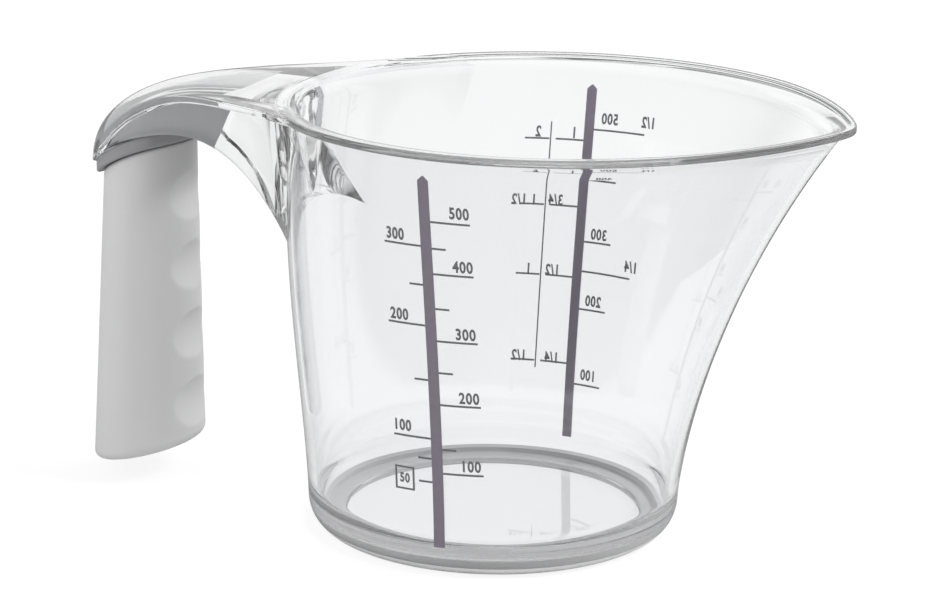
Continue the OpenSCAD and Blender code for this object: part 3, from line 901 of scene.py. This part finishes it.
class Sleeve:
    """The soft grip: an oval column that narrows towards its top, with finger hollows in its front."""

    def __init__(self, j):
        self.j = j
        self.foot_x, self.top_x = -j.hood_x - j.foot_back, -j.hood_x - TOP_BACK
        self.span = j.top - j.peak_drop - j.collar_h - j.h.grip_foot_z
        self.middles = [j.top - FINGER_FIRST - FINGER_PITCH * k for k in range(4)]
        depth = j.h.finger_depth
        self.finger_r = (FINGER_HALF ** 2 + depth ** 2) / (2 * depth)
        self.profile = self.rounded_profile()

    def rounded_profile(self):
        """Pairs of the share of the height and the distance in from the side, from foot to top."""
        profile = [(0.0, FOOT_HALF_L * q) for q in (0.9, 0.7, 0.45)]
        for t in turns(0, 90, 8):
            profile.append((FOOT_ROUND * (1 - math.cos(t)) / self.span, FOOT_ROUND * (1 - math.sin(t))))
        low, high = FOOT_ROUND / self.span, 1 - TOP_ROUND / self.span
        profile += [(low + (high - low) * i / SLEEVE_STEPS, 0.0) for i in range(1, SLEEVE_STEPS)]
        for t in turns(0, 90, 5):
            profile.append((1 - TOP_ROUND * (1 - math.sin(t)) / self.span, TOP_ROUND * (1 - math.cos(t))))
        return profile + [(1.0, TOP_HALF_L * q) for q in (0.45, 0.7, 0.9)]

    def hollow(self, x, z):
        """Moves a point of the front back to the nearest hollow, with softened edges."""
        for middle in self.middles:
            away = abs(z - middle)
            if away < FINGER_HALF + FINGER_REACH:
                lean = self.top_x + TOP_HALF_L - self.foot_x - FOOT_HALF_L
                face = self.foot_x + FOOT_HALF_L + lean * (middle - self.j.h.grip_foot_z) / self.span
                inside = max(0.0, self.finger_r ** 2 - away ** 2)
                wall = face + self.finger_r - self.j.h.finger_depth - math.sqrt(inside)
                gap = x - wall
                return x - 0.5 * (gap + math.hypot(gap, FINGER_SOFT))
        return x

    def place(self, k, a):
        s, back = self.profile[k]
        half_l = FOOT_HALF_L + (TOP_HALF_L - FOOT_HALF_L) * s
        half_w = FOOT_HALF_W + (TOP_HALF_W - FOOT_HALF_W) * s
        x, y = oval(self.foot_x + (self.top_x - self.foot_x) * s, half_l - back, half_w - back, a)
        low = self.j.grip_low(x)
        z = low + (self.j.collar_low(x) - self.j.gap - low) * s
        if math.cos(a) > FINGER_FRONT and 0 < s < 1:
            x = self.hollow(x, z)
        return Vector((x, y, z))


class JUG_OT_grip_sleeve(bpy.types.Operator):
    """Build the soft grip with its sloping foot and four finger hollows"""
    bl_idname = "jug.grip_sleeve"
    bl_label = "Grip sleeve"

    def execute(self, context):
        sleeve = Sleeve(jug())
        bm = close_ends(sheet_of_rings(len(sleeve.profile), SLEEVE_AROUND, sleeve.place))
        piece = put_together("grip_sleeve_piece", bm, SLEEVE_SHARP)
        finish(piece, soft_grip(), "grip_rubber", "grip_sleeve")
        return {"FINISHED"}


RING_EDGE = 0.35 * MM
RING_TOP_IN = 0.1 * MM
RING_SIDE_STEPS = 12
RING_AROUND = 192


class JUG_OT_foot_ring(bpy.types.Operator):
    """Build the soft ring under the base, with rounded edges"""
    bl_idname = "jug.foot_ring"
    bl_label = "Foot ring"

    def execute(self, context):
        j = jug()
        tall, edge = j.h.foot_h, RING_EDGE
        pts = [(j.foot_in + edge * (1 - math.sin(t)), edge * (1 - math.cos(t))) for t in turns(90, 0, 4)]
        heights = [tall * (i / RING_SIDE_STEPS) ** 2 for i in range(RING_SIDE_STEPS)]
        pts += [(j.corner_r(z), z) for z in heights]
        pts += [(j.corner_r(tall) - RING_TOP_IN, tall), (j.tongue_out, tall)]
        pts += [(j.tongue_out, j.h.tongue_h), (j.tongue_in, j.h.tongue_h), (j.tongue_in, tall)]
        pts += [(j.foot_in + edge, tall), (j.foot_in, tall - edge)]
        bm = bmesh.new()
        line = [bm.verts.new((r, 0, z)) for r, z in pts]
        edges = [bm.edges.new((p, q)) for p, q in zip(line, line[1:] + line[:1])]
        bmesh.ops.spin(bm, geom=line + edges, cent=(0, 0, 0), axis=(0, 0, 1), angle=math.tau,
                       steps=RING_AROUND, use_merge=True)
        finish(put_together("foot_ring_piece", bm), foot_rubber(), "foot_rubber", "foot_ring")
        return {"FINISHED"}


# Printed scales

# How bright each wall's ink is. The rear print's ink is painted lighter, a painted backlight for the bright
# backdrop that shines through the thin ink.
FRONT_INK = 1.0
REAR_INK_PAINTED_BACKLIGHT = 2.4


class JUG_OT_scale_ink(bpy.types.Operator):
    """Give the printed bars and lines their ink"""
    bl_idname = "jug.scale_ink"
    bl_label = "Bars and lines"

    def execute(self, context):
        finishes = context.scene.jug_finish
        # The rear scale's bars and lines get the lighter ink, painted backlight.
        for scale, factor in (("gram", FRONT_INK), ("litre", REAR_INK_PAINTED_BACKLIGHT)):
            for part, base in (("bar", finishes.bar), ("lines", finishes.line)):
                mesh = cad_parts[f"{scale}_scale_{part}"].data
                mesh.materials.clear()
                mesh.materials.append(ink(f"{scale}_{part}_ink", tone(base, factor)))
        return {"FINISHED"}


# Each number with its x and the height of its foot, in millimetres
FRONT_NUMBERS = [
    ("500", 11.3, 83.1), ("400", 11.3, 71.2), ("300", 11.1, 55.9), ("200", 11.1, 41.2),
    ("100", 11.1, 25.3), ("300", -3.5, 77.2), ("200", -3.5, 59.2), ("100", -3.9, 33.5),
]
REAR_NUMBERS = [
    ("500", 8.8, 82.8), ("400", 8.8, 70.6), ("300", 8.7, 55.9), ("200", 8.6, 39.9),
    ("100", 8.4, 21.9), ("1/2", 18.7, 83.0), ("1/4", 18.0, 49.6),
    ("1", 0.1, 79.0), ("3/4", -3.1, 63.2), ("1/2", -2.9, 46.4), ("1/4", -1.7, 25.1),
    ("2", -8.6, 79.0), ("1 1/2", -11.0, 63.0), ("1", -8.7, 46.3), ("1/2", -10.0, 25.1),
]
BOXED_NUMBER = ("50", -4.0, 21.3)
BOX_FOOT = 19.7 * MM
BOX_WIDE, BOX_TALL, BOX_LINE = 4.6 * MM, 5.5 * MM, 0.42 * MM
NUMBER_TALL, BOXED_TALL = 2.7 * MM, 2.3 * MM
NUMBER_NARROW = 0.74
NUMBER_BOLD = 0.031
NUMBER_SPACED = 1.12
INK_OFF_WALL, INK_THICK = 0.06, 0.12


def flat_number(word, tall):
    """A number as a thin flat mesh, upright, with its middle at x 0 and its foot at y 0."""
    curve = bpy.data.curves.new("number", "FONT")
    curve.body = word
    curve.size = 1.0
    curve.offset = NUMBER_BOLD
    curve.resolution_u = 4
    curve.space_character = NUMBER_SPACED
    temp = bpy.data.objects.new("number", curve)
    bpy.context.scene.collection.objects.link(temp)
    bpy.context.view_layer.update()
    mesh = bpy.data.meshes.new_from_object(temp.evaluated_get(bpy.context.evaluated_depsgraph_get()))
    bpy.data.objects.remove(temp)
    bpy.data.curves.remove(curve)
    bm = bmesh.new()
    bm.from_mesh(mesh)
    bpy.data.meshes.remove(mesh)
    bmesh.ops.remove_doubles(bm, verts=bm.verts, dist=MERGE)
    low, high = min(v.co.y for v in bm.verts), max(v.co.y for v in bm.verts)
    left, right = min(v.co.x for v in bm.verts), max(v.co.x for v in bm.verts)
    up = tall / (high - low)
    for v in bm.verts:
        x = (v.co.x - (left + right) / 2) * up * NUMBER_NARROW
        v.co = Vector((x, (v.co.y - low) * up, 0.0))
    return bm


def raise_and_wrap(bm, j, x0, z0, side):
    """Gives a flat mesh its thickness and lays it on the outer wall. Side -1 is the front, 1 the rear."""
    bmesh.ops.recalc_face_normals(bm, faces=bm.faces)
    made = bmesh.ops.extrude_face_region(bm, geom=list(bm.faces))
    tops = [g for g in made["geom"] if isinstance(g, bmesh.types.BMVert)]
    for v in tops:
        v.co.z = 1.0
    for v in bm.verts:
        x, z = x0 - side * v.co.x, z0 + v.co.y
        out = (INK_OFF_WALL + INK_THICK * v.co.z) * MM
        a = math.acos((x - j.shift(z)) / j.wall_r(math.pi / 2, z))
        p = j.wall(a, z, out)
        v.co = Vector((p.x, side * p.y, z))


def add_number(bm, j, number_at, tall, side):
    word, x, z = number_at
    flat = flat_number(word, tall)
    raise_and_wrap(flat, j, x * MM, z * MM, side)
    add_mesh(bm, flat)


class JUG_OT_numbers(bpy.types.Operator):
    """Print the plain numbers beside the scale lines on both walls"""
    bl_idname = "jug.numbers"
    bl_label = "Numbers"

    def execute(self, context):
        j = jug()
        base = context.scene.jug_finish.line
        # The rear numbers get the lighter ink, painted backlight.
        for name, side, words, factor in (("gram_numbers", -1, FRONT_NUMBERS, FRONT_INK),
                                          ("litre_numbers", 1, REAR_NUMBERS, REAR_INK_PAINTED_BACKLIGHT)):
            bm = bmesh.new()
            for word in words:
                add_number(bm, j, word, NUMBER_TALL, side)
            if side < 0:
                add_mesh(bm, number_box(j))
                add_number(bm, j, BOXED_NUMBER, BOXED_TALL, side)
            finish(put_together(name, bm), ink(f"{name}_ink", tone(base, factor)), "line_print")
        return {"FINISHED"}


def number_box(j):
    """The thin square frame around the lowest number of the front scale."""
    bm = bmesh.new()
    bmesh.ops.create_grid(bm, x_segments=6, y_segments=6, size=0.5)
    bmesh.ops.scale(bm, vec=(BOX_WIDE, BOX_TALL, 1), verts=bm.verts)
    bmesh.ops.translate(bm, vec=(0, BOX_TALL / 2, 0), verts=bm.verts)
    middle = list(bm.faces)
    bmesh.ops.inset_region(bm, faces=middle, thickness=BOX_LINE, use_even_offset=True, use_boundary=True)
    bmesh.ops.delete(bm, geom=middle, context="FACES")
    raise_and_wrap(bm, j, BOXED_NUMBER[1] * MM, BOX_FOOT, -1)
    return bm


# Stage

# The fitted camera. Its focal length and the middle of its view are in pixels of the picture.
TILT, ROLL = 0.27162, 0.01593
DISTANCE = 637.5 * MM
TARGET = Vector((0.0, 0.0, 49.09 * MM))
PICTURE_WIDE, PICTURE_MIDDLE = 951, (475.5, 299.5)
FOCAL, VIEW_MIDDLE = 2811.5634, (495.94633, 310.77804)
SENSOR = 36
NEAREST, FARTHEST = 0.01, 100.0

# Name, place, aim, size and watts of each soft light
SOFTBOXES = [
    ("left_box", (-0.9, -0.7, 0.8), (-0.02, 0, 0.05), (0.7, 0.9), 7.0),
    ("rear_box", (0.6, 0.9, 0.9), (0, 0, 0.05), (1.0, 0.8), 9.0),
    ("right_box", (0.5, 0.1, 0.6), (-0.09, 0, 0.04), (0.2, 0.2), 4.0),
]
FLOOR_HALF = 6.0

# Ramps of the surroundings: start, end, level before and level after
FLOOR_AHEAD_DARK = (0.05, 0.14, 0.0, 0.94)
HIGH_DIMS = (0.2, 0.6, 1.0, 0.3)
SIDES_DIM = (0.7, 0.95, 1.0, 0.5)
REAR_LIT = (0.35, 0.75, 0.05, 1.0)
OVERHEAD_LIT = (0.7, 0.95, 0.0, 0.8)
REAR = (-0.05, 0.999, 0.0)
FILL = 0.48


def add_camera(scene):
    away = Vector((math.sin(TURN) * math.cos(TILT), -math.cos(TURN) * math.cos(TILT), math.sin(TILT)))
    right = Vector((math.cos(TURN), math.sin(TURN), 0.0))
    up = away.cross(right)
    rolled_right = right * math.cos(ROLL) + up * math.sin(ROLL)
    rolled_up = up * math.cos(ROLL) - right * math.sin(ROLL)
    data = bpy.data.cameras.new("camera")
    data.sensor_width = SENSOR
    data.lens = FOCAL / PICTURE_WIDE * SENSOR
    data.shift_x = (PICTURE_MIDDLE[0] - VIEW_MIDDLE[0]) / PICTURE_WIDE
    data.shift_y = (VIEW_MIDDLE[1] - PICTURE_MIDDLE[1]) / PICTURE_WIDE
    data.clip_start, data.clip_end = NEAREST, FARTHEST
    camera = bpy.data.objects.new("camera", data)
    place = Matrix((rolled_right, rolled_up, away)).transposed().to_4x4()
    place.translation = TARGET + away * DISTANCE
    camera.matrix_world = place
    scene.collection.objects.link(camera)
    scene.camera = camera


def add_softbox(scene, name, at, towards, size, power):
    """A soft light that only rough surfaces see."""
    data = bpy.data.lights.new(name, "AREA")
    data.shape = "RECTANGLE"
    data.size, data.size_y = size
    data.energy = power
    lamp = bpy.data.objects.new(name, data)
    lamp.visible_glossy = False
    lamp.visible_transmission = False
    lamp.location = at
    lamp.rotation_euler = (Vector(towards) - Vector(at)).to_track_quat("-Z", "Y").to_euler()
    scene.collection.objects.link(lamp)


def white_floor():
    """Pale floor that is white to the camera and through the clear plastic, and keeps a part of the shadow.

    It is dark to mirrored light and, ahead of the jug, to light that has bounced. It is open from below.
    """
    s = Shader(bpy.data.materials.new("white_floor"))
    path = s.add("ShaderNodeLightPath")
    where = s.add("ShaderNodeTexCoord").outputs["Object"]
    camera = s.value(path, "Is Camera Ray")
    ahead = s.along(where, (math.sin(TURN), -math.cos(TURN), 0.0))
    lit = 1 - s.bounced(path) * s.ramp(ahead + s.sideways(where) * 0.5, *FLOOR_AHEAD_DARK)
    clear = s.math("MAXIMUM", s.value(path, "Is Transmission Ray"), s.value(path, "Is Glossy Ray") * 0.3)
    seen = s.math("MAXIMUM", clear * lit, camera)
    plain = s.surface(Base_Color=(0.86, 0.86, 0.86, 1), Roughness=0.9)
    bright = s.blend(seen * 0.85, plain, s.light("ShaderNodeEmission", 1, 1.02))
    unlit = (1 - s.value(path, "Is Diffuse Ray")) * (1 - camera)
    unlit = unlit * s.math("MAXIMUM", 1 - lit, s.mirrored(path) * 0.8)
    top = s.blend(unlit, bright, s.light("ShaderNodeEmission", 1, 0.05))
    below = s.value(s.add("ShaderNodeNewGeometry"), "Backfacing")
    return s.out(s.blend(below, top, s.add("ShaderNodeBsdfTransparent").outputs[0]))


def studio_world(scene):
    """White for the camera, and for light straight through the plastic, but dimmer high up and aside.

    Light that has bounced sees a bright rear half and a dark front, as in front of a white backdrop.
    """
    scene.world = bpy.data.worlds.new("studio")
    s = Shader(scene.world)
    path = s.add("ShaderNodeLightPath")
    towards = s.add("ShaderNodeTexCoord").outputs["Generated"]
    up = s.along(towards, (0.0, 0.0, 1.0))
    straight = s.ramp(up, *HIGH_DIMS) * s.ramp(s.sideways(towards), *SIDES_DIM)
    around = s.math("MAXIMUM", s.ramp(s.along(towards, REAR), *REAR_LIT), s.ramp(up, *OVERHEAD_LIT))
    level = straight + (around - straight) * s.bounced(path)
    level = level * (1 - s.mirrored(path) * 0.15)
    soft = s.value(path, "Is Diffuse Ray")
    level = level * (1 - soft) + (FILL + level * (1 - FILL)) * soft
    level = s.math("MAXIMUM", level, s.value(path, "Is Camera Ray"))
    dark, white = s.light("ShaderNodeBackground", 0, 1.0), s.light("ShaderNodeBackground", 1, 1.0)
    s.out(s.blend(level, dark, white), "ShaderNodeOutputWorld")


class JUG_OT_stage(bpy.types.Operator):
    """Set up the pale floor, the soft lights and the camera"""
    bl_idname = "jug.stage"
    bl_label = "Stage"

    def execute(self, context):
        scene = context.scene
        scene.view_settings.view_transform = "Standard"
        bm = bmesh.new()
        bmesh.ops.create_grid(bm, x_segments=8, y_segments=8, size=FLOOR_HALF)
        mesh = bpy.data.meshes.new("floor")
        bm.to_mesh(mesh)
        bm.free()
        floor = bpy.data.objects.new("floor", mesh)
        mesh.materials.append(white_floor())
        scene.collection.objects.link(floor)
        studio_world(scene)
        for box in SOFTBOXES:
            add_softbox(scene, *box)
        add_camera(scene)
        return {"FINISHED"}


# Panel and run

OPERATORS = [JUG_OT_stage, JUG_OT_clear_body, JUG_OT_grip_core, JUG_OT_grip_sleeve,
             JUG_OT_foot_ring, JUG_OT_scale_ink, JUG_OT_numbers]


class JUG_PT_panel(bpy.types.Panel):
    """Lists the jug's sizes, colours and pieces"""
    bl_idname = "JUG_PT_panel"
    bl_label = "Measuring jug"
    bl_space_type = "VIEW_3D"
    bl_region_type = "UI"
    bl_category = "Jug"

    def draw(self, context):
        for title, group in (("Bowl", context.scene.jug_bowl), ("Handle", context.scene.jug_handle),
                             ("Finish", context.scene.jug_finish)):
            box = self.layout.box()
            box.label(text=title)
            for key in group.__annotations__:
                box.prop(group, key)
        for operator in OPERATORS:
            self.layout.operator(operator.bl_idname)


CLASSES = [BowlSizes, HandleSizes, Finishes, *OPERATORS, JUG_PT_panel]


def register():
    for cls in CLASSES:
        bpy.utils.register_class(cls)
    bpy.types.Scene.jug_bowl = bpy.props.PointerProperty(type=BowlSizes)
    bpy.types.Scene.jug_handle = bpy.props.PointerProperty(type=HandleSizes)
    bpy.types.Scene.jug_finish = bpy.props.PointerProperty(type=Finishes)


def unregister():
    del bpy.types.Scene.jug_finish
    del bpy.types.Scene.jug_handle
    del bpy.types.Scene.jug_bowl
    for cls in reversed(CLASSES):
        bpy.utils.unregister_class(cls)


def main():
    register()
    bpy.ops.jug.stage()
    bpy.ops.jug.clear_body()
    bpy.ops.jug.grip_core()
    bpy.ops.jug.grip_sleeve()
    bpy.ops.jug.foot_ring()
    bpy.ops.jug.scale_ink()
    bpy.ops.jug.numbers()


if __name__ == "__main__":
    main()
